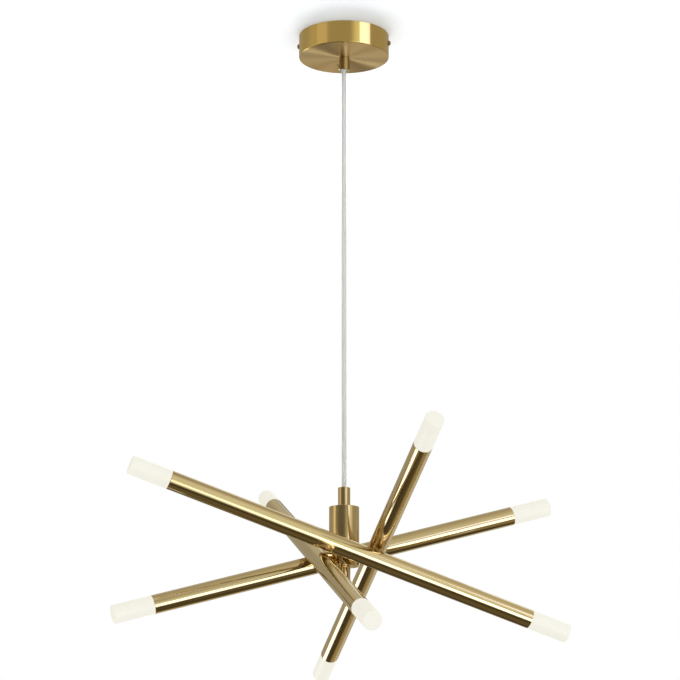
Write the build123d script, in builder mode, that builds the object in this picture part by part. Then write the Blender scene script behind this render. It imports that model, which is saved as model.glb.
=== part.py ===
from build123d import *
import math
import os

# Pendant chandelier: four straight brass arms turn about a small hub on a cord.
# Millimetres, +Z up. The origin is on the ceiling, at the canopy's axis, and the
# two side screws of the canopy lie along X.

# --- driving dimensions -----------------------------------------------------
# canopy and its ceiling plate
canopy_d = 100.0
canopy_h = 25.0
canopy_wall = 1.2
canopy_edge = 0.8
plate_d = 88.0
plate_t = 1.5
plate_tab_x = 47.0
plate_tab_w = 16.0
plate_tab_drop = 14.0
plate_slot_x = 30.0
plate_slot_w = 4.5
plate_slot_l = 12.0
plate_cable_d = 12.0
side_screw_z = -9.5
side_screw_d = 3.0
side_screw_head_d = 5.6
side_screw_head_h = 2.4

# driver and terminal block under the ceiling plate
driver_l = 48.0
driver_w = 26.0
driver_h = 16.0
driver_y = 24.0
driver_ear = 6.0
driver_ear_t = 2.0
terminal_l = 30.0
terminal_w = 14.0
terminal_h = 14.0
terminal_y = -23.0
terminal_pitch = 10.0
earth_screw_d = 4.0
earth_screw_x = -28.0
earth_screw_y = -20.0

# cord and its two grips
cord_d = 5.0
grip_d = 13.0
grip_bore_d = 5.2
upper_grip_l = 15.0
lower_grip_l = 21.0
grip_thread_l = 5.0
grip_mouth_d = 8.4
grip_mouth_l = 3.1
grip_screw_d = 3.5
upper_grip_screw_azimuth = 186.0
upper_grip_screw_drop = 9.6
lower_grip_screw_rise = 12.0
nipple_d = 10.0
nipple_bore_d = 6.4
locknut_af = 14.0
locknut_t = 3.0
swing_z = -39.0
bush_d = 7.6
bush_bore_d = 6.4
bush_t = 1.6
cord_top_z = -38.2
cord_foot_depth = 14.0

# hub
hub_d = 32.0
hub_wall = 1.7
hub_top_z = -532.0
hub_bottom_z = -595.5
hub_cap_t = 2.5
finial_l = 21.0
splice_w = 7.0
splice_l = 12.0
splice_h = 18.0
splice_x = 4.0
splice_drop = 12.0

# arms: each tube stands beside the hub on a hollow spindle
swivel_z = -583.2
swivel_azimuth = 21.0
arm_offset = 32.5
tube_d = 20.0
tube_wall = 1.0
tube_rim = 0.4
tube_half = 206.0
arm_half = 250.0
boss_d = 13.0
boss_start = 20.7
collar_end = 20.4
spindle_d = 8.0
spindle_bore_d = 4.4
spindle_head_d = 12.0
spindle_head_r = 9.8
spindle_head_t = 1.6
inner_washer_r = 11.7
spindle_fit = 0.08
block_d = 17.9
block_half = 13.0
block_bore_d = 8.8

# lamp ends
diffuser_d = 19.8
diffuser_edge = 1.5
diffuser_bore_d = 14.4
diffuser_cap_t = 3.0
spigot_d = 17.9
spigot_l = 8.0
board_d = 14.0
board_t = 1.2
emitter_d = 9.0
emitter_t = 0.8
sink_l = 16.0
sink_bore_d = 3.0
lead_d = 1.6
lead_gap = 1.0
lead_clearance = 0.5

# Each arm: where its spindle points, counted from the front arm, and how steeply
# it falls. The arms lie as flat as their neighbours let them.
arms = {
    "front_arm": (-90.0, 18.7),
    "right_arm": (0.0, 24.3),
    "back_arm": (90.0, 15.6),
    "left_arm": (180.0, 23.2),
}

# --- worked out from the above ----------------------------------------------
canopy_r = canopy_d / 2
upper_grip_foot = -canopy_h - upper_grip_l
upper_nipple_top = -canopy_h + canopy_wall + locknut_t + 3.5
cord_tail_top = upper_nipple_top + 0.5
cord_tail_foot = upper_grip_foot + grip_mouth_l
lower_grip_top = hub_top_z + lower_grip_l
cord_foot_z = lower_grip_top - cord_foot_depth
hub_r = hub_d / 2
hub_bore_r = hub_r - hub_wall
tube_r = tube_d / 2
spindle_end = arm_offset - block_bore_d / 2
board_back = tube_half - spigot_l - 0.2
terminal_hole_z = -plate_t - terminal_h / 2
splice_top = hub_top_z - splice_drop
splice_foot = splice_top - splice_h
ceiling = Plane.XY

os.makedirs("parts", exist_ok=True)


def save(builder, name):
    """Write one finished piece under its node name."""
    builder.part.label = name
    export_step(builder.part, f"parts/{name}.step")


def outward(azimuth):
    """Unit vector from the hub's axis towards this azimuth."""
    angle = math.radians(azimuth)
    return Vector(math.cos(angle), math.sin(angle), 0)


def downhill(azimuth, tilt):
    """Unit vector along an arm, towards its low end."""
    out = outward(azimuth)
    fall = math.radians(tilt)
    level = Vector(-out.Y, out.X, 0)
    return level * math.cos(fall) - Vector(0, 0, math.sin(fall))


def spindle_plane(azimuth, tilt=0.0):
    """Plane at the hub's axis, facing out along a spindle."""
    return Plane(origin=(0, 0, swivel_z), x_dir=downhill(azimuth, tilt), z_dir=outward(azimuth))


def arm_plane(azimuth, tilt):
    """Plane across an arm at its swivel, facing the arm's low end, x pointing out."""
    out = outward(azimuth)
    centre = out * arm_offset + Vector(0, 0, swivel_z)
    return Plane(origin=centre, x_dir=out, z_dir=downhill(azimuth, tilt))


# --- ceiling plate, canopy and what it holds ---------------------------------
with BuildPart() as ceiling_plate:
    with BuildSketch(ceiling.offset(-plate_t)):
        Circle(plate_d / 2)
        Rectangle(2 * plate_tab_x, plate_tab_w)
        Circle(plate_cable_d / 2, mode=Mode.SUBTRACT)
        with Locations((-plate_slot_x, 0), (plate_slot_x, 0)):
            SlotOverall(plate_slot_l, plate_slot_w, mode=Mode.SUBTRACT)
        with Locations((earth_screw_x, earth_screw_y)):
            Circle(earth_screw_d / 2, mode=Mode.SUBTRACT)
    extrude(amount=plate_t)
    with BuildSketch(ceiling.offset(-plate_tab_drop)):
        with Locations((plate_tab_x - plate_t / 2, 0), (plate_t / 2 - plate_tab_x, 0)):
            Rectangle(plate_t, plate_tab_w)
    extrude(amount=plate_tab_drop)
    with BuildSketch(Plane.YZ.offset(-plate_tab_x)):
        with Locations((0, side_screw_z)):
            Circle(side_screw_d / 2)
    extrude(amount=2 * plate_tab_x, mode=Mode.SUBTRACT)
save(ceiling_plate, "ceiling_plate")

with BuildPart() as canopy_shell:
    with BuildSketch(ceiling.offset(-canopy_h)):
        Circle(canopy_r)
    extrude(amount=canopy_h)
    fillet(canopy_shell.faces().sort_by(Axis.Z)[0].edges(), canopy_edge)
    with BuildSketch(ceiling.offset(-canopy_h + canopy_wall)):
        Circle(canopy_r - canopy_wall)
    extrude(amount=canopy_h, mode=Mode.SUBTRACT)
    with BuildSketch(ceiling.offset(-canopy_h)):
        Circle(nipple_d / 2 + 0.1)
    extrude(amount=canopy_h, mode=Mode.SUBTRACT)
    with BuildSketch(Plane.YZ.offset(-canopy_r)):
        with Locations((0, side_screw_z)):
            Circle(side_screw_d / 2 + 0.2)
    extrude(amount=canopy_d, mode=Mode.SUBTRACT)
save(canopy_shell, "canopy_shell")

with BuildPart() as canopy_side_screws:
    with BuildSketch(Plane.XZ):
        with BuildLine():
            Polyline(
                (plate_tab_x - 2 * plate_t, side_screw_z),
                (plate_tab_x - 2 * plate_t, side_screw_z + side_screw_d / 2),
                (canopy_r, side_screw_z + side_screw_d / 2),
                (canopy_r, side_screw_z + side_screw_head_d / 2),
                (canopy_r + side_screw_head_h / 2, side_screw_z + side_screw_head_d / 2),
            )
            RadiusArc(
                (canopy_r + side_screw_head_h / 2, side_screw_z + side_screw_head_d / 2),
                (canopy_r + side_screw_head_h, side_screw_z + side_screw_d / 4),
                side_screw_head_d / 2,
            )
            Polyline(
                (canopy_r + side_screw_head_h, side_screw_z + side_screw_d / 4),
                (canopy_r + side_screw_head_h, side_screw_z),
                (plate_tab_x - 2 * plate_t, side_screw_z),
            )
        make_face()
    revolve(axis=Axis((0, 0, side_screw_z), (1, 0, 0)))
    with BuildSketch(Plane.YZ.offset(canopy_r + side_screw_head_h - 1.0)):
        with Locations((0, side_screw_z)):
            Rectangle(3.0, 0.7)
            Rectangle(0.7, 3.0)
    extrude(amount=1.0, mode=Mode.SUBTRACT)
    mirror(about=Plane.YZ)
save(canopy_side_screws, "canopy_side_screws")

with BuildPart() as led_driver:
    with BuildSketch(ceiling.offset(-plate_t - driver_h)):
        with Locations((0, driver_y)):
            RectangleRounded(driver_l, driver_w, 2.0)
    extrude(amount=driver_h)
    fillet(led_driver.faces().sort_by(Axis.Z)[0].edges(), 1.0)
    with BuildSketch(ceiling.offset(-plate_t - driver_ear_t)):
        with Locations((0, driver_y)):
            RectangleRounded(driver_l + 2 * driver_ear, 10.0, 2.0)
    extrude(amount=driver_ear_t)
    with BuildSketch(ceiling.offset(-plate_t - driver_ear_t)):
        with Locations((-driver_l / 2 - 3.0, driver_y), (driver_l / 2 + 3.0, driver_y)):
            Circle(side_screw_d / 2)
    extrude(amount=driver_ear_t, mode=Mode.SUBTRACT)
save(led_driver, "led_driver")

with BuildPart() as driver_screws:
    with BuildSketch(ceiling.offset(-plate_t - driver_ear_t)):
        with Locations((-driver_l / 2 - 3.0, driver_y), (driver_l / 2 + 3.0, driver_y)):
            Circle(side_screw_d / 2)
    extrude(amount=driver_ear_t)
    with BuildSketch(ceiling.offset(-plate_t - driver_ear_t)):
        with Locations((-driver_l / 2 - 3.0, driver_y), (driver_l / 2 + 3.0, driver_y)):
            Circle(2.7)
    extrude(amount=-1.8)
    fillet(driver_screws.faces().group_by(Axis.Z)[0].edges(), 0.7)
save(driver_screws, "driver_screws")

with BuildPart() as terminal_block:
    with BuildSketch(ceiling.offset(-plate_t - terminal_h)):
        with Locations((0, terminal_y)):
            Rectangle(terminal_l, terminal_w)
    extrude(amount=terminal_h)
    chamfer(terminal_block.faces().sort_by(Axis.Z)[0].edges(), 1.0)
    with BuildSketch(Plane.XZ.offset(-terminal_y - terminal_w / 2)):
        with Locations((0, -plate_t - terminal_h / 2)):
            with GridLocations(terminal_pitch, 1, 3, 1):
                Circle(1.9)
    extrude(amount=terminal_w, mode=Mode.SUBTRACT)
    with BuildSketch(ceiling.offset(-plate_t - terminal_h)):
        with Locations((0, terminal_y)):
            with GridLocations(terminal_pitch, 6.0, 3, 2):
                Circle(2.0)
    extrude(amount=3.5, mode=Mode.SUBTRACT)
save(terminal_block, "terminal_block")

with BuildPart() as terminal_screws:
    with BuildSketch(ceiling.offset(-plate_t - terminal_h + 1.2)):
        with Locations((0, terminal_y)):
            with GridLocations(terminal_pitch, 6.0, 3, 2):
                Circle(1.8)
                Rectangle(3.0, 0.5, mode=Mode.SUBTRACT)
    extrude(amount=0.7)
    with BuildSketch(ceiling.offset(-plate_t - terminal_h + 1.9)):
        with Locations((0, terminal_y)):
            with GridLocations(terminal_pitch, 6.0, 3, 2):
                Circle(1.8)
    extrude(amount=1.6)
save(terminal_screws, "terminal_screws")

with BuildPart() as earth_screw:
    with BuildSketch(ceiling.offset(-plate_t)):
        with Locations((earth_screw_x, earth_screw_y)):
            Circle(earth_screw_d / 2)
    extrude(amount=plate_t)
    with BuildSketch(ceiling.offset(-plate_t)):
        with Locations((earth_screw_x, earth_screw_y)):
            Circle(earth_screw_d)
    extrude(amount=-2.6)
    fillet(earth_screw.faces().sort_by(Axis.Z)[0].edges(), 1.0)
    with BuildSketch(ceiling.offset(-plate_t - 2.6)):
        with Locations((earth_screw_x, earth_screw_y)):
            Rectangle(4.4, 1.0)
            Rectangle(1.0, 4.4)
    extrude(amount=1.4, mode=Mode.SUBTRACT)
save(earth_screw, "earth_screw")

# --- upper cord grip ----------------------------------------------------------
upper_screw_plane = Plane(
    origin=(0, 0, -canopy_h - upper_grip_screw_drop), z_dir=outward(upper_grip_screw_azimuth)
)
with BuildPart() as upper_grip:
    with BuildSketch(ceiling.offset(upper_grip_foot)):
        Circle(grip_d / 2)
    extrude(amount=upper_grip_l)
    chamfer(upper_grip.edges().filter_by(GeomType.CIRCLE), 0.4)
    with BuildSketch(ceiling.offset(upper_grip_foot)):
        Circle(grip_bore_d / 2)
    extrude(amount=upper_grip_l, mode=Mode.SUBTRACT)
    with BuildSketch(ceiling.offset(-canopy_h - grip_thread_l)):
        Circle(nipple_d / 2)
    extrude(amount=grip_thread_l, mode=Mode.SUBTRACT)
    with BuildSketch(ceiling.offset(upper_grip_foot)):
        Circle(grip_mouth_d / 2)
    extrude(amount=grip_mouth_l, mode=Mode.SUBTRACT)
    with BuildSketch(upper_screw_plane):
        Circle(grip_screw_d / 2)
    extrude(amount=grip_d, mode=Mode.SUBTRACT)
save(upper_grip, "upper_grip")

with BuildPart() as upper_grip_screw:
    with BuildSketch(upper_screw_plane.offset(cord_d / 2)):
        Circle(grip_screw_d / 2)
    extrude(amount=grip_d / 2 - cord_d / 2 + 1.6)
    fillet(upper_grip_screw.edges().filter_by(GeomType.CIRCLE), 0.7)
save(upper_grip_screw, "upper_grip_screw")

with BuildPart() as upper_grip_nipple:
    with BuildSketch(ceiling.offset(-canopy_h - grip_thread_l)):
        Circle(nipple_d / 2)
        Circle(nipple_bore_d / 2, mode=Mode.SUBTRACT)
    extrude(amount=upper_nipple_top + canopy_h + grip_thread_l)
save(upper_grip_nipple, "upper_grip_nipple")

with BuildPart() as upper_grip_locknut:
    with BuildSketch(ceiling.offset(-canopy_h + canopy_wall)):
        RegularPolygon(locknut_af / 2, 6, major_radius=False)
        Circle(nipple_d / 2, mode=Mode.SUBTRACT)
    extrude(amount=locknut_t)
save(upper_grip_locknut, "upper_grip_locknut")

with BuildPart() as cord_tail:
    with BuildSketch(ceiling.offset(cord_tail_foot)):
        Circle(cord_d / 2)
    extrude(amount=cord_tail_top - cord_tail_foot)
save(cord_tail, "cord_tail")

with BuildPart() as canopy_leads:
    for side in (-1, 1):
        core_x = side * 1.2 * lead_gap
        with BuildLine():
            FilletPolyline(
                (core_x, 0, cord_tail_top),
                (core_x, 0, -10.0),
                (core_x, driver_y - driver_w / 2, -10.0),
                radius=4.0,
            )
        with BuildSketch(ceiling.offset(cord_tail_top)):
            with Locations((core_x, 0)):
                Circle(lead_d / 2)
        sweep()
        with BuildSketch(Plane.XZ.offset(-driver_y + driver_w / 2)):
            with Locations((side * terminal_pitch, terminal_hole_z)):
                Circle(lead_d / 2)
        extrude(amount=driver_y - driver_w / 2 - terminal_y - terminal_w / 4)
save(canopy_leads, "canopy_leads")

# The bush is the middle ring of the cord's flexing point in the grip's mouth.
with BuildPart() as cord_bush:
    with BuildSketch(ceiling.offset(swing_z - bush_t / 2)):
        Circle(bush_d / 2)
        Circle(bush_bore_d / 2, mode=Mode.SUBTRACT)
    extrude(amount=bush_t)
save(cord_bush, "cord_bush")

# --- cord: it carries the lamp, so it is one straight run ----------------------
with BuildPart() as cord:
    with BuildSketch(ceiling.offset(cord_foot_z)):
        Circle(cord_d / 2)
    extrude(amount=cord_top_z - cord_foot_z)
save(cord, "cord")

# --- lower cord grip and hub ----------------------------------------------------
lower_screw_plane = Plane(origin=(0, 0, hub_top_z + lower_grip_screw_rise), z_dir=(0, 1, 0))
with BuildPart() as lower_grip:
    with BuildSketch(ceiling.offset(hub_top_z)):
        Circle(grip_d / 2)
    extrude(amount=lower_grip_l)
    chamfer(lower_grip.edges().filter_by(GeomType.CIRCLE), 0.4)
    with BuildSketch(ceiling.offset(hub_top_z)):
        Circle(grip_bore_d / 2)
    extrude(amount=lower_grip_l, mode=Mode.SUBTRACT)
    with BuildSketch(ceiling.offset(hub_top_z)):
        Circle(nipple_d / 2)
    extrude(amount=grip_thread_l, mode=Mode.SUBTRACT)
    with BuildSketch(lower_screw_plane):
        Circle(grip_screw_d / 2)
    extrude(amount=grip_d, mode=Mode.SUBTRACT)
save(lower_grip, "lower_grip")

with BuildPart() as lower_grip_screw:
    with BuildSketch(lower_screw_plane.offset(cord_d / 2 + 0.4)):
        Circle(grip_screw_d / 2)
    extrude(amount=grip_d / 2 - cord_d / 2 + 0.4)
    fillet(lower_grip_screw.edges().filter_by(GeomType.CIRCLE), 0.5)
save(lower_grip_screw, "lower_grip_screw")

with BuildPart() as hub_shell:
    with BuildSketch(ceiling.offset(hub_bottom_z)):
        Circle(hub_r)
    extrude(amount=hub_top_z - hub_bottom_z)
    chamfer(hub_shell.edges().filter_by(GeomType.CIRCLE), 0.3)
    with BuildSketch(ceiling.offset(hub_bottom_z)):
        Circle(hub_bore_r)
    extrude(amount=hub_top_z - hub_bottom_z - hub_cap_t, mode=Mode.SUBTRACT)
    with BuildSketch(ceiling.offset(hub_bottom_z)):
        Circle(nipple_d / 2)
    extrude(amount=hub_top_z - hub_bottom_z, mode=Mode.SUBTRACT)
    for azimuth, _ in arms.values():
        with BuildSketch(spindle_plane(swivel_azimuth + azimuth)):
            Circle(spindle_d / 2 + spindle_fit)
        extrude(amount=hub_d, mode=Mode.SUBTRACT)
save(hub_shell, "hub_shell")

with BuildPart() as hub_bottom_cap:
    with BuildSketch(ceiling.offset(hub_bottom_z)):
        Circle(hub_bore_r)
        Circle(nipple_d / 2, mode=Mode.SUBTRACT)
    extrude(amount=hub_cap_t)
save(hub_bottom_cap, "hub_bottom_cap")

nipple_reach = hub_cap_t + locknut_t
with BuildPart() as hub_nipples:
    with BuildSketch(ceiling.offset(hub_top_z - nipple_reach)):
        Circle(nipple_d / 2)
        Circle(nipple_bore_d / 2, mode=Mode.SUBTRACT)
    extrude(amount=nipple_reach + grip_thread_l)
    with BuildSketch(ceiling.offset(hub_bottom_z - grip_thread_l)):
        Circle(nipple_d / 2)
        Circle(nipple_bore_d / 2, mode=Mode.SUBTRACT)
    extrude(amount=nipple_reach + grip_thread_l)
save(hub_nipples, "hub_nipples")

with BuildPart() as hub_locknuts:
    with BuildSketch(ceiling.offset(hub_top_z - nipple_reach), ceiling.offset(hub_bottom_z + hub_cap_t)):
        RegularPolygon(locknut_af / 2, 6, major_radius=False)
        Circle(nipple_d / 2, mode=Mode.SUBTRACT)
    extrude(amount=locknut_t)
save(hub_locknuts, "hub_locknuts")

with BuildPart() as finial:
    with BuildSketch(ceiling.offset(hub_bottom_z - finial_l)):
        Circle(grip_d / 2)
    extrude(amount=finial_l)
    chamfer(finial.edges().filter_by(GeomType.CIRCLE), 0.4)
    with BuildSketch(ceiling.offset(hub_bottom_z - grip_thread_l)):
        Circle(nipple_d / 2)
    extrude(amount=grip_thread_l, mode=Mode.SUBTRACT)
save(finial, "finial")

splice_plane = Plane(
    origin=(0, 0, splice_foot), x_dir=outward(swivel_azimuth + 45), z_dir=(0, 0, 1)
)
with BuildPart() as splice_connectors:
    with BuildSketch(splice_plane):
        with Locations((-splice_x, 0), (splice_x, 0)):
            RectangleRounded(splice_w, splice_l, 1.0)
    extrude(amount=splice_h)
    fillet(splice_connectors.faces().group_by(Axis.Z)[0].edges(), 0.8)
save(splice_connectors, "splice_connectors")

with BuildPart() as hub_leads:
    with BuildSketch(splice_plane.offset(splice_h)):
        with Locations((-1.4 * lead_gap, 0), (1.4 * lead_gap, 0)):
            Circle(lead_d / 2)
    extrude(amount=cord_foot_z - lead_clearance - splice_top)
    for azimuth, _ in arms.values():
        out = outward(swivel_azimuth + azimuth)
        start = out * 5.5 + Vector(0, 0, splice_foot)
        corner = out * 5.5 + Vector(0, 0, swivel_z)
        finish = out * (spindle_head_r - lead_clearance) + Vector(0, 0, swivel_z)
        with BuildLine():
            FilletPolyline(start, corner, finish, radius=3.0)
        with BuildSketch(Plane(origin=start, z_dir=(0, 0, -1))):
            Circle(lead_d / 2)
        sweep()
save(hub_leads, "hub_leads")

with BuildPart() as swivel_collars:
    for azimuth, _ in arms.values():
        with BuildSketch(spindle_plane(swivel_azimuth + azimuth).offset(hub_bore_r)):
            Circle(boss_d / 2)
        extrude(amount=collar_end - hub_bore_r)
    with BuildSketch(ceiling.offset(hub_bottom_z)):
        Circle(hub_r)
    extrude(amount=hub_top_z - hub_bottom_z, mode=Mode.SUBTRACT)
    for azimuth, _ in arms.values():
        with BuildSketch(spindle_plane(swivel_azimuth + azimuth)):
            Circle(spindle_d / 2 + spindle_fit)
        extrude(amount=collar_end, mode=Mode.SUBTRACT)
save(swivel_collars, "swivel_collars")

with BuildPart() as swivel_inner_washers:
    for azimuth, _ in arms.values():
        with BuildSketch(spindle_plane(swivel_azimuth + azimuth).offset(inner_washer_r)):
            Circle(spindle_head_d / 2)
        extrude(amount=hub_r - inner_washer_r)
    with BuildSketch(ceiling.offset(hub_bottom_z)):
        Circle(hub_bore_r)
    extrude(amount=hub_top_z - hub_bottom_z, mode=Mode.INTERSECT)
    for azimuth, _ in arms.values():
        with BuildSketch(spindle_plane(swivel_azimuth + azimuth)):
            Circle(spindle_d / 2 + spindle_fit)
        extrude(amount=hub_r, mode=Mode.SUBTRACT)
save(swivel_inner_washers, "swivel_inner_washers")

# --- the four arms ---------------------------------------------------------------
for arm, (azimuth, tilt) in arms.items():
    across = arm_plane(swivel_azimuth + azimuth, tilt)
    spindle_axis = spindle_plane(swivel_azimuth + azimuth, tilt)

    with BuildPart() as tube:
        with BuildSketch(across.offset(-tube_half)):
            Circle(tube_r)
        extrude(amount=2 * tube_half)
        fillet(tube.edges().filter_by(GeomType.CIRCLE), tube_rim)
        with BuildSketch(spindle_axis.offset(boss_start)):
            Circle(boss_d / 2)
        extrude(amount=arm_offset - boss_start)
        with BuildSketch(across.offset(-tube_half)):
            Circle(tube_r - tube_wall)
        extrude(amount=2 * tube_half, mode=Mode.SUBTRACT)
        with BuildSketch(spindle_axis.offset(boss_start)):
            Circle(spindle_d / 2)
        extrude(amount=arm_offset - boss_start, mode=Mode.SUBTRACT)
    save(tube, f"{arm}_tube")

    with BuildPart() as swivel_block:
        with BuildSketch(across.offset(-block_half)):
            Circle(block_d / 2)
            Circle(block_bore_d / 2, mode=Mode.SUBTRACT)
        extrude(amount=2 * block_half)
        with BuildSketch(spindle_axis):
            Circle(spindle_d / 2)
        extrude(amount=arm_offset, mode=Mode.SUBTRACT)
    save(swivel_block, f"{arm}_swivel_block")

    with BuildPart() as spindle:
        with BuildSketch(spindle_axis.offset(spindle_head_r)):
            Circle(spindle_head_d / 2)
        extrude(amount=spindle_head_t)
        with BuildSketch(spindle_axis.offset(spindle_head_r)):
            Circle(spindle_d / 2)
        extrude(amount=spindle_end - spindle_head_r)
        with BuildSketch(spindle_axis.offset(spindle_head_r)):
            Circle(spindle_bore_d / 2)
        extrude(amount=spindle_end - spindle_head_r, mode=Mode.SUBTRACT)
    save(spindle, f"{arm}_spindle")

    with BuildPart() as leads:
        for end in (-1, 1):
            start = across.from_local_coords((spindle_head_r - arm_offset, 0, end * lead_gap))
            corner = across.from_local_coords((0, 0, end * lead_gap))
            finish = across.from_local_coords((0, 0, end * board_back))
            with BuildLine():
                FilletPolyline(start, corner, finish, radius=3.0)
            with BuildSketch(Plane(origin=start, z_dir=spindle_axis.z_dir)):
                Circle(lead_d / 2)
            sweep()
    save(leads, f"{arm}_leads")

    with BuildPart() as heat_sinks:
        for start in (board_back - sink_l, -board_back):
            with BuildSketch(across.offset(start)):
                Circle(block_d / 2)
                Circle(sink_bore_d / 2, mode=Mode.SUBTRACT)
            extrude(amount=sink_l)
    save(heat_sinks, f"{arm}_heat_sinks")

    with BuildPart() as led_boards:
        for end in (-1, 1):
            with BuildSketch(across.offset(end * board_back)):
                Circle(board_d / 2)
            extrude(amount=end * board_t)
            with BuildSketch(across.offset(end * (board_back + board_t))):
                Circle(emitter_d / 2)
            extrude(amount=end * emitter_t)
    save(led_boards, f"{arm}_led_boards")

    for end, place in ((-1, "high"), (1, "low")):
        mouth = across.offset(end * tube_half)
        with BuildPart() as diffuser:
            with BuildSketch(mouth):
                Circle(diffuser_d / 2)
            extrude(amount=end * (arm_half - tube_half))
            tip_edge = diffuser.edges().filter_by(GeomType.CIRCLE).sort_by(Axis(mouth.origin, mouth.z_dir))
            fillet(tip_edge[-1 if end > 0 else 0], diffuser_edge)
            with BuildSketch(mouth):
                Circle(spigot_d / 2)
            extrude(amount=-end * spigot_l)
            with BuildSketch(across.offset(end * (tube_half - spigot_l))):
                Circle(diffuser_bore_d / 2)
            extrude(amount=end * (arm_half - tube_half + spigot_l - diffuser_cap_t), mode=Mode.SUBTRACT)
        save(diffuser, f"{arm}_diffuser_{place}")
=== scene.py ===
import math
from collections import namedtuple

import bpy
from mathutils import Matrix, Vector


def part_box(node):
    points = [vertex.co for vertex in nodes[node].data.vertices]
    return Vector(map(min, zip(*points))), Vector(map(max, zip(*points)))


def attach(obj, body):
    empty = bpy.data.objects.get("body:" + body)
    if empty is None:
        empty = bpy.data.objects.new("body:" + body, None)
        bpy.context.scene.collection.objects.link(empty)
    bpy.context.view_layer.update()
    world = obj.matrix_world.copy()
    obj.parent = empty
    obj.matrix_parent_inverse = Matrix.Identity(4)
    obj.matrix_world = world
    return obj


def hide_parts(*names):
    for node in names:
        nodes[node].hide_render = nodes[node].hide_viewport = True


# Looks for the pendant chandelier: a camera, a smooth cord, materials for every piece and a
# soft studio. Metres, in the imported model's frame.

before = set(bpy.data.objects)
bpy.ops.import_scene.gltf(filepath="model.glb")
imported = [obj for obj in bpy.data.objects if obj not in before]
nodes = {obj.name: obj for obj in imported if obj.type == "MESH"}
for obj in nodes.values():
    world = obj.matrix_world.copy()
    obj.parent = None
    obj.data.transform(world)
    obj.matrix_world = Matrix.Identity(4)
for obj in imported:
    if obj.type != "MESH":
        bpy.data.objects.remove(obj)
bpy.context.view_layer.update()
scene = bpy.context.scene
arm_names = ("front_arm", "right_arm", "back_arm", "left_arm")

# --- camera ------------------------------------------------------------------
# The camera stands in front of the lamp, a little to its right, and looks up.
camera_azimuth = math.radians(-83.72)
camera_distance = 2.5145
camera_height = -0.9672
camera_pitch = math.radians(13.818)
camera_heading = math.radians(6.380)
camera_lens = 126.63
sensor_width = 36.0

camera_data = bpy.data.cameras.new("camera")
camera_data.lens = camera_lens
camera_data.sensor_width = sensor_width
camera = bpy.data.objects.new("camera", camera_data)
camera.location = (
    camera_distance * math.cos(camera_azimuth),
    camera_distance * math.sin(camera_azimuth),
    camera_height,
)
camera.rotation_euler = (math.pi / 2 + camera_pitch, 0, camera_heading)
scene.collection.objects.link(camera)
scene.camera = camera
scene.view_settings.view_transform = "Standard"

# --- cord ----------------------------------------------------------------------
# A clear sheath over two cores side by side, pulled straight by the lamp's weight.
cord_low, cord_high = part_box("cord")
cord_diameter = 0.005
cord_lead_in = 6 * cord_diameter
core_radius = 0.0008
core_from_middle = 0.00095
core_end_gap = 0.0004
cord_route = [
    Vector((0, 0, cord_high.z)),
    Vector((0, 0, cord_high.z - cord_lead_in)),
    Vector((0, 0, cord_low.z + cord_lead_in)),
    Vector((0, 0, cord_low.z)),
]


def route_curve(name, points, radius):
    """A round cord or core: one open NURBS spline through the route's points."""
    curve = bpy.data.curves.new(name, "CURVE")
    curve.dimensions = "3D"
    curve.bevel_depth = radius
    curve.bevel_resolution = 8
    curve.use_fill_caps = True
    spline = curve.splines.new("NURBS")
    spline.points.add(len(points) - 1)
    for control, point in zip(spline.points, points):
        control.co = (*point, 1)
    spline.order_u = 3
    spline.use_endpoint_u = True
    piece = bpy.data.objects.new(name, curve)
    scene.collection.objects.link(piece)
    return piece


clear_cord = route_curve("clear_cord", cord_route, cord_diameter / 2)
cord_cores = []
for name, side in (("cord_core_left", -1), ("cord_core_right", 1)):
    offset = Vector((side * core_from_middle, 0, 0))
    end_gap = Vector((0, 0, core_end_gap))
    points = [point + offset for point in cord_route]
    points[0] -= end_gap
    points[-1] += end_gap
    cord_cores.append(route_curve(name, points, core_radius))


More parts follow.
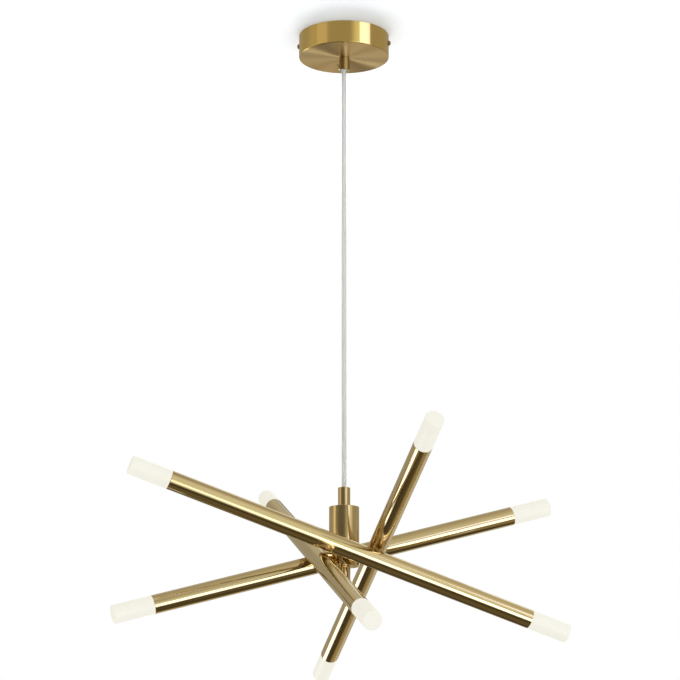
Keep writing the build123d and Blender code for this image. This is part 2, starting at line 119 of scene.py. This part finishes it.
# --- material helpers ------------------------------------------------------------
class Graph:
    """A material and short ways to add and join its nodes."""

    def __init__(self, name):
        self.material = bpy.data.materials.new(name)
        self.material.use_nodes = True
        self.tree = self.material.node_tree
        self.shader = self.tree.nodes["Principled BSDF"]
        self.output = self.tree.nodes["Material Output"]

    def add(self, kind, inputs=None, **settings):
        node = self.tree.nodes.new(kind)
        for name, value in settings.items():
            setattr(node, name, value)
        for name, value in (inputs or {}).items():
            self.put(node, name, value)
        return node

    def put(self, node, name, value):
        """Sets a socket, or joins another node's socket to it."""
        if isinstance(value, bpy.types.NodeSocket):
            self.tree.links.new(value, node.inputs[name])
        else:
            node.inputs[name].default_value = value

    def set(self, **values):
        """Sets the Principled shader's sockets: base_color becomes Base Color."""
        for name, value in values.items():
            self.put(self.shader, name.replace("_", " ").title().replace("Ior", "IOR"), value)

    def coordinates(self, turn=None, scale=(1, 1, 1)):
        """Object coordinates, turned so that a piece's axis is X, then stretched."""
        place = self.add("ShaderNodeTexCoord").outputs["Object"]
        if turn is not None:
            angles = turn.to_euler()
            place = self.add("ShaderNodeMapping", {"Vector": place, "Rotation": angles}).outputs[0]
        return self.add("ShaderNodeMapping", {"Vector": place, "Scale": scale}).outputs[0]

    def noise(self, place, scale=1.0, detail=3.0):
        """Noise with this many cells to the metre; scale 1 is for coordinates already stretched."""
        inputs = {"Vector": place, "Scale": scale, "Detail": detail}
        return self.add("ShaderNodeTexNoise", inputs).outputs["Fac"]

    def fit(self, value, low, high, start=0.3, end=0.7):
        """Maps a noise value to the range from low to high."""
        inputs = {"Value": value, "From Min": start, "From Max": end, "To Min": low, "To Max": high}
        return self.add("ShaderNodeMapRange", inputs).outputs[0]

    def blend(self, factor, first, second):
        """A colour between two colours."""
        mix = self.add("ShaderNodeMix", data_type="RGBA")
        self.put(mix, 0, factor)
        self.put(mix, 6, first)
        self.put(mix, 7, second)
        return mix.outputs[2]

    def length(self, vector):
        """How long a vector is."""
        return self.add("ShaderNodeVectorMath", {0: vector}, operation="LENGTH").outputs["Value"]

    def bump(self, height, depth):
        """A normal bent by a height of this depth in metres."""
        return self.add("ShaderNodeBump", {"Height": height, "Distance": depth, "Strength": 1.0}).outputs[0]


def wear(*names, material):
    """Gives CAD nodes or pieces this material."""
    for name in names:
        piece = nodes[name] if isinstance(name, str) else name
        piece.data.materials.clear()
        piece.data.materials.append(material)


# --- brass -----------------------------------------------------------------------
# Each brass is mottled between a light and a deep colour.
tube_light = (0.70, 0.56, 0.345, 1)
tube_deep = (0.66, 0.52, 0.305, 1)
turned_light = (0.72, 0.55, 0.30, 1)
turned_deep = (0.68, 0.51, 0.26, 1)
# Painted reflection: the upper grip's brass is paler and less orange than the turned brass, standing in for
# the whiter light it reflects under the canopy.
paled_grip_light = (0.66, 0.56, 0.375, 1)
paled_grip_deep = (0.62, 0.52, 0.335, 1)
wall_light = (0.75, 0.535, 0.20, 1)
wall_deep = (0.71, 0.495, 0.17, 1)
# Painted light: the underside's colours are lighter and paler than the wall's, the same spun brass
# brightened where it faces down.
brightened_spun_light = (0.77, 0.565, 0.31, 1)
brightened_spun_deep = (0.73, 0.525, 0.27, 1)


def polished_tube(name, axis):
    """Satin-polished brass with faint grain along the tube."""
    g = Graph(name)
    turn = axis.to_track_quat("X", "Z").inverted()
    grain = g.noise(g.coordinates(turn, (25, 2600, 2600)), detail=2.0)
    mottle = g.noise(g.coordinates(), scale=14.0, detail=4.0)
    g.set(
        base_color=g.blend(g.fit(mottle, 0.0, 0.7), tube_light, tube_deep),
        metallic=1.0,
        roughness=g.fit(grain, 0.08, 0.14),
        normal=g.bump(grain, 0.00001),
    )
    return g.material


def turned_brass(name, light, deep):
    """Brass turned on a lathe: fine rings round the vertical axis."""
    g = Graph(name)
    rings = g.noise(g.coordinates(scale=(20, 20, 5200)), detail=2.0)
    mottle = g.noise(g.coordinates(), scale=30.0, detail=4.0)
    g.set(
        base_color=g.blend(g.fit(mottle, 0.0, 0.8), light, deep),
        metallic=1.0,
        roughness=g.fit(rings, 0.08, 0.14),
        normal=g.bump(rings, 0.000005),
    )
    return g.material


def spun_canopy(name):
    """Polished wall and a circular-brushed underside, told apart by which way they face; the underside's
    brass is also painted lighter and paler than the wall's, as painted light.
    """
    g = Graph(name)
    place = g.add("ShaderNodeTexCoord").outputs["Object"]
    east, north = g.add("ShaderNodeSeparateXYZ", {"Vector": place}).outputs[:2]
    radius = g.length(g.add("ShaderNodeCombineXYZ", {"X": east, "Y": north}).outputs[0])
    heading = g.add("ShaderNodeMath", {0: north, 1: east}, operation="ARCTAN2").outputs[0]
    ring_place = g.add("ShaderNodeCombineXYZ", {"X": radius, "Y": heading}).outputs[0]
    ring_place = g.add("ShaderNodeMapping", {"Vector": ring_place, "Scale": (5000, 3.0, 1)}).outputs[0]
    rings = g.noise(ring_place)
    mottle = g.noise(g.coordinates(), scale=22.0, detail=4.0)
    patches = g.fit(mottle, 0.0, 0.7)
    tangent = g.add("ShaderNodeTangent", direction_type="RADIAL", axis="Z").outputs[0]
    g.set(
        # Painted light: the underside takes its lighter, paler painted colours here.
        base_color=g.blend(patches, brightened_spun_light, brightened_spun_deep),
        metallic=1.0,
        roughness=g.fit(rings, 0.30, 0.36),
        anisotropic=1.0,
        anisotropic_rotation=0.25,
        normal=g.bump(rings, 0.000004),
        tangent=tangent,
    )
    grain = g.noise(g.coordinates(scale=(30, 30, 3500)), detail=2.0)
    wall = g.add(
        "ShaderNodeBsdfPrincipled",
        {
            "Base Color": g.blend(patches, wall_light, wall_deep),
            "Metallic": 1.0,
            "Roughness": g.fit(grain, 0.08, 0.13),
            "Normal": g.bump(grain, 0.000008),
        },
    )
    facing = g.add("ShaderNodeTexCoord").outputs["Normal"]
    upward = g.add("ShaderNodeSeparateXYZ", {"Vector": facing}).outputs[2]
    underside = g.fit(upward, 1.0, 0.0, start=-0.96, end=-0.86)
    mix = g.add("ShaderNodeMixShader", {0: underside, 1: wall.outputs[0], 2: g.shader.outputs[0]})
    g.put(g.output, "Surface", mix.outputs[0])
    return g.material


def plain_metal(name, light, deep, roughness, scale=400.0):
    """Plated or turned metal for screws, nuts and hidden parts; roughness is (least, most)."""
    g = Graph(name)
    grain = g.noise(g.coordinates(), scale, detail=4.0)
    g.set(
        base_color=g.blend(g.fit(grain, 0.0, 1.0), light, deep),
        metallic=1.0,
        roughness=g.fit(grain, *roughness),
        normal=g.bump(grain, 0.00002),
    )
    return g.material


# --- plastics --------------------------------------------------------------------
opal_light = (0.37, 0.364, 0.33, 1)
opal_deep = (0.35, 0.344, 0.31, 1)
lamp_colour = (1.0, 0.975, 0.86, 1)
lamp_glow = 0.537
sheath_light = (0.93, 0.93, 0.92, 1)
sheath_deep = (0.90, 0.90, 0.89, 1)


def opal_acrylic(name):
    """Frosted opal cylinder, lit evenly from inside."""
    g = Graph(name)
    frost = g.noise(g.coordinates(), scale=2500.0, detail=2.0)
    cloud = g.noise(g.coordinates(), scale=60.0)
    g.set(
        base_color=g.blend(g.fit(cloud, 0.0, 1.0), opal_light, opal_deep),
        roughness=g.fit(frost, 0.42, 0.55),
        emission_color=lamp_colour,
        emission_strength=lamp_glow,
    )
    return g.material


def clear_sheath(name):
    """Clear soft plastic over the cord's cores."""
    g = Graph(name)
    ripple = g.noise(g.coordinates(scale=(1, 1, 0.3)), scale=300.0, detail=2.0)
    g.set(
        base_color=g.blend(g.fit(ripple, 0.0, 1.0), sheath_light, sheath_deep),
        roughness=g.fit(ripple, 0.30, 0.36),
        ior=1.4,
        transmission_weight=0.6,
    )
    return g.material


def moulded_plastic(name, light, deep, roughness=(0.4, 0.55)):
    """Moulded plastic with a fine matt texture; roughness is (least, most)."""
    g = Graph(name)
    texture = g.noise(g.coordinates(), scale=1800.0)
    cloud = g.noise(g.coordinates(), scale=120.0)
    g.set(
        base_color=g.blend(g.fit(cloud, 0.0, 1.0), light, deep),
        roughness=g.fit(texture, *roughness),
        normal=g.bump(texture, 0.00003),
    )
    return g.material


# --- what wears what ---------------------------------------------------------------
def arm_axis(arm):
    """The arm's direction: from the middle of its high diffuser to that of its low one."""
    high = sum(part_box(f"{arm}_diffuser_high"), Vector()) / 2
    low = sum(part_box(f"{arm}_diffuser_low"), Vector()) / 2
    return (low - high).normalized()


turned = turned_brass("turned_brass", turned_light, turned_deep)
reflection_paled_turned = turned_brass("turned_brass_painted_paler", paled_grip_light, paled_grip_deep)
spun = spun_canopy("spun_canopy")
zinc = plain_metal("zinc_plate", (0.62, 0.63, 0.64, 1), (0.5, 0.51, 0.53, 1), roughness=(0.25, 0.4))
aluminium = plain_metal(
    "turned_aluminium", (0.78, 0.78, 0.79, 1), (0.68, 0.68, 0.7, 1), roughness=(0.28, 0.4)
)
# Painted shade: the canopy's side screws are dark brown for the shade and dark reflection on them.
shade_dark_screws = plain_metal(
    "bronzed_screws", (0.42, 0.29, 0.13, 1), (0.3, 0.2, 0.09, 1), roughness=(0.25, 0.38), scale=900.0
)
# Painted highlight: the grip screws are pale cream for the bright glint on the clamping screw.
glint_pale_screws = plain_metal(
    "screws_painted_pale_glint", (0.84, 0.72, 0.5, 1), (0.78, 0.66, 0.44, 1), roughness=(0.25, 0.38), scale=900.0
)
opal = opal_acrylic("opal_acrylic")
sheath = clear_sheath("clear_sheath")
core = moulded_plastic("core_insulation", (0.78, 0.78, 0.76, 1), (0.74, 0.74, 0.72, 1), roughness=(0.3, 0.4))
leads = moulded_plastic("lead_insulation", (0.78, 0.78, 0.75, 1), (0.7, 0.7, 0.68, 1))
board = moulded_plastic("board_mask", (0.86, 0.86, 0.8, 1), (0.8, 0.8, 0.72, 1))
case = moulded_plastic("driver_case", (0.8, 0.8, 0.78, 1), (0.74, 0.74, 0.72, 1))
nylon = moulded_plastic("terminal_nylon", (0.75, 0.77, 0.72, 1), (0.68, 0.7, 0.65, 1), roughness=(0.3, 0.45))
bush = moulded_plastic("bush_nylon", (0.72, 0.72, 0.70, 1), (0.66, 0.66, 0.64, 1))

wear("canopy_shell", material=spun)
# Painted shade: the side screws wear the dark screw colour.
wear("canopy_side_screws", material=shade_dark_screws)
# Painted reflection: the upper grip wears the paler copy of the turned brass.
wear("upper_grip", material=reflection_paled_turned)
wear("lower_grip", material=turned)
# Painted highlight: the grip screws wear the pale screw colour.
wear("upper_grip_screw", "lower_grip_screw", material=glint_pale_screws)
wear("hub_shell", "hub_bottom_cap", "finial", "swivel_collars", material=turned)
wear("ceiling_plate", "driver_screws", "terminal_screws", "earth_screw", material=zinc)
wear("upper_grip_nipple", "upper_grip_locknut", "hub_nipples", "hub_locknuts", material=zinc)
wear("swivel_inner_washers", material=zinc)
wear("led_driver", material=case)
wear("terminal_block", "splice_connectors", material=nylon)
wear("canopy_leads", "hub_leads", material=leads)
wear("cord_bush", material=bush)
wear("cord_tail", clear_cord, material=sheath)
wear(*cord_cores, material=core)
for arm in arm_names:
    polished = polished_tube(f"{arm}_brass", arm_axis(arm))
    wear(f"{arm}_tube", f"{arm}_spindle", material=polished)
    wear(f"{arm}_diffuser_high", f"{arm}_diffuser_low", material=opal)
    wear(f"{arm}_swivel_block", f"{arm}_heat_sinks", material=aluminium)
    wear(f"{arm}_led_boards", material=board)
    wear(f"{arm}_leads", material=leads)

for piece in [clear_cord, *cord_cores]:
    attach(piece, "cord")
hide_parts("cord")


# --- studio ------------------------------------------------------------------------
# The room's light comes from every side, so it is written down by direction, in degrees:
# azimuth 0 is the camera's side and 90 its right. room_levels gives the room's own level
# by elevation, a soft box adds its strength to it and a flag takes some away.
SoftBox = namedtuple("SoftBox", "azimuth elevation half_width half_height soft_edge strength colour")
daylight = (0.91, 1.0, 1.04)
halo_tint = (0.90, 1.0, 0.80)
skylight = (0.95, 1.0, 1.7)
room_tint = (1.07, 1.0, 0.76)
floor_tint = (1.24, 1.0, 0.5)
soft_boxes = {
    "front_box": SoftBox(45, -21, 28, 12, 5.5, 2.2, daylight),
    "front_wing": SoftBox(12, -14, 16, 20, 8, 0.5, halo_tint),
    "left_back_box": SoftBox(-124, -30, 11, 11, 5, 2.6, daylight),
    "right_strip": SoftBox(56, 21.5, 14.5, 8.5, 3, 1.15, skylight),
    "right_strip_foot": SoftBox(36, 8, 5, 7, 3, 0.9, skylight),
    "right_halo": SoftBox(44, 22, 19, 20, 22, 0.45, halo_tint),
    "top_front": SoftBox(22, 68, 36, 9, 13, 0.12, room_tint),
    "back_top": SoftBox(155, 36, 20, 7, 14, 0.85, daylight),
    "back_middle": SoftBox(164, -21, 15, 12, 6, 0.15, room_tint),
    "left_low": SoftBox(-79, -6, 9, 20, 7, 0.40, room_tint),
    "left_high": SoftBox(-58, 22, 15, 11, 2.5, 0.12, room_tint),
    "left_halo": SoftBox(-72, 22, 29, 14, 28, 0.10, room_tint),
    "back_low": SoftBox(168, -48, 16, 9, 12, 0.25, floor_tint),
    "right_low": SoftBox(88, -45, 25, 9, 5, 0.18, floor_tint),
    "left_flag": SoftBox(-167, -27, 9.5, 12, 5, -0.23, room_tint),
    "left_glow": SoftBox(-146.5, -37, 8, 10, 5, 1.0, room_tint),
    "back_glow": SoftBox(177, -40, 7, 7, 5, 0.40, room_tint),
    "front_flag": SoftBox(-28, -8, 36, 23, 14, -0.225, room_tint),
    "back_flag": SoftBox(178, 20, 16, 14, 8, -0.08, room_tint),
}
room_levels = {
    -90: 0.105, -75: 0.113, -62: 0.07, -52: 0.045, -45: 0.045, -39: 0.22, -33: 0.40, -5: 0.38,
    4: 0.34, 20: 0.35, 35: 0.37, 45: 0.53, 54: 0.58, 62: 0.37, 72: 0.40, 90: 0.42,
}
room_strength = 1.12
# Below this elevation the room has the floor's tint.
floor_top = -40
# The camera sees plain white round the lamp, and matt surfaces get this share of it.
white_on_matt = 0.85

# The wash is a soft light low behind the lamp, which falls on the ceiling alone.
wash_power = 56.0
wash_size = (1.6, 1.0)
wash_distance = 2.4
wash_height = -1.3
wash_azimuth = camera_azimuth + math.radians(183)
wash_target = Vector((0, 0, -0.02))

# The ceiling lies just above the canopy's rim.
ceiling_height = 0.0005
ceiling_radius = 0.9
floor_height = -2.7
floor_radius = 30.0
floor_glow = 0.4


def studio_world():
    """The room's light by direction, with the backdrop white to look at."""
    world = bpy.data.worlds.new("studio")
    world.use_nodes = True
    scene.world = world
    tree = world.node_tree

    def node(kind, inputs, **settings):
        made = tree.nodes.new(kind)
        for name, value in settings.items():
            setattr(made, name, value)
        for name, value in inputs.items():
            if isinstance(value, bpy.types.NodeSocket):
                tree.links.new(value, made.inputs[name])
            else:
                made.inputs[name].default_value = value
        return made.outputs[0]

    def maths(operation, *values):
        return node("ShaderNodeMath", dict(enumerate(values)), operation=operation)

    def inside(offset, half, softness):
        """1 while the offset is under half, falling softly to 0 past it."""
        edge = {"From Min": half + softness / 2, "From Max": half - softness / 2}
        return node("ShaderNodeMapRange", {"Value": offset, **edge}, interpolation_type="SMOOTHSTEP")

    place = tree.nodes.new("ShaderNodeTexCoord").outputs["Generated"]
    turn = {"Vector": place, "Angle": -camera_azimuth}
    place = node("ShaderNodeVectorRotate", turn, rotation_type="Z_AXIS")
    split = tree.nodes.new("ShaderNodeSeparateXYZ")
    tree.links.new(place, split.inputs[0])
    east, north, rise = split.outputs
    azimuth = maths("ARCTAN2", north, east)
    elevation = maths("ARCSINE", rise)

    ramp = tree.nodes.new("ShaderNodeValToRGB")
    stops = ramp.color_ramp.elements
    while len(stops) < len(room_levels):
        stops.new(0.5)
    for stop, (height, level) in zip(stops, room_levels.items()):
        tint = floor_tint if height < floor_top else room_tint
        stop.position = (math.sin(math.radians(height)) + 1) / 2
        stop.color = (*(level * part for part in tint), 1)
    tree.links.new(maths("MULTIPLY_ADD", rise, 0.5, 0.5), ramp.inputs[0])

    total = ramp.outputs[0]
    for box in soft_boxes.values():
        across = maths("WRAP", maths("SUBTRACT", azimuth, math.radians(box.azimuth)), math.pi, -math.pi)
        above = maths("SUBTRACT", elevation, math.radians(box.elevation))
        soft_edge = math.radians(box.soft_edge)
        wide = inside(maths("ABSOLUTE", across), math.radians(box.half_width), soft_edge)
        tall = inside(maths("ABSOLUTE", above), math.radians(box.half_height), soft_edge)
        amount = maths("MULTIPLY", wide, tall)
        light = tuple(box.strength * part for part in box.colour)
        total = node("ShaderNodeVectorMath", {0: amount, 1: light, 2: total}, operation="MULTIPLY_ADD")

    lit = tree.nodes["Background"]
    lit.inputs["Strength"].default_value = room_strength
    tree.links.new(total, lit.inputs["Color"])
    white = node("ShaderNodeBackground", {"Color": (1, 1, 1, 1)})
    path = tree.nodes.new("ShaderNodeLightPath")
    seen = maths("MAXIMUM", path.outputs["Is Camera Ray"], path.outputs["Is Transmission Ray"])
    seen = maths("MULTIPLY_ADD", path.outputs["Is Diffuse Ray"], white_on_matt, seen)
    mix = node("ShaderNodeMixShader", {0: seen, 1: lit.outputs[0], 2: white})
    tree.links.new(mix, tree.nodes["World Output"].inputs[0])


def ceiling_wash(ceiling):
    """One soft light on the ceiling from low behind, which throws the canopy's shadow forwards."""
    data = bpy.data.lights.new("ceiling_wash", "AREA")
    data.shape = "RECTANGLE"
    data.size, data.size_y = wash_size
    data.energy = wash_power
    light = bpy.data.objects.new("ceiling_wash", data)
    light.location = (
        wash_distance * math.cos(wash_azimuth),
        wash_distance * math.sin(wash_azimuth),
        wash_height,
    )
    light.rotation_euler = (light.location - wash_target).to_track_quat("Z", "Y").to_euler()
    light.visible_camera = False
    light.visible_glossy = False
    scene.collection.objects.link(light)
    washed = bpy.data.collections.new("washed")
    washed.objects.link(ceiling)
    light.light_linking.receiver_collection = washed


def backdrop(name, height, reach, faces_up, glow):
    """A round pale floor or ceiling that fades out, seen only from its own side and not in the brass."""
    mesh = bpy.data.meshes.new(name)
    corners = range(96)
    turns = [math.tau * corner / len(corners) for corner in corners]
    rim = [(reach * math.cos(turn), reach * math.sin(turn), height) for turn in turns]
    mesh.from_pydata(rim, [], [tuple(corners if faces_up else reversed(corners))])
    piece = bpy.data.objects.new(name, mesh)
    scene.collection.objects.link(piece)
    g = Graph(name)
    plaster = g.noise(g.coordinates(), scale=900.0)
    g.set(
        base_color=(0.845, 0.865, 0.89, 1),
        roughness=0.9,
        emission_color=(1, 1, 1, 1),
        emission_strength=glow,
        normal=g.bump(plaster, 0.00002),
    )
    behind = g.add("ShaderNodeNewGeometry").outputs["Backfacing"]
    place = g.add("ShaderNodeTexCoord").outputs["Object"]
    flat = g.add("ShaderNodeVectorMath", {0: place, 1: (1, 1, 0)}, operation="MULTIPLY").outputs[0]
    fade = g.fit(g.length(flat), 0.0, 1.0, start=0.18 * reach, end=0.9 * reach)
    unseen = g.add("ShaderNodeMath", {0: behind, 1: fade}, operation="MAXIMUM").outputs[0]
    clear = g.add("ShaderNodeBsdfTransparent").outputs[0]
    mix = g.add("ShaderNodeMixShader", {0: unseen, 1: g.shader.outputs[0], 2: clear})
    g.put(g.output, "Surface", mix.outputs[0])
    mesh.materials.append(g.material)
    piece.visible_glossy = False
    piece.visible_diffuse = False
    piece.visible_shadow = False
    return piece


studio_world()
ceiling_wash(backdrop("ceiling", ceiling_height, ceiling_radius, faces_up=False, glow=0.0))
backdrop("floor", floor_height, floor_radius, faces_up=True, glow=floor_glow)
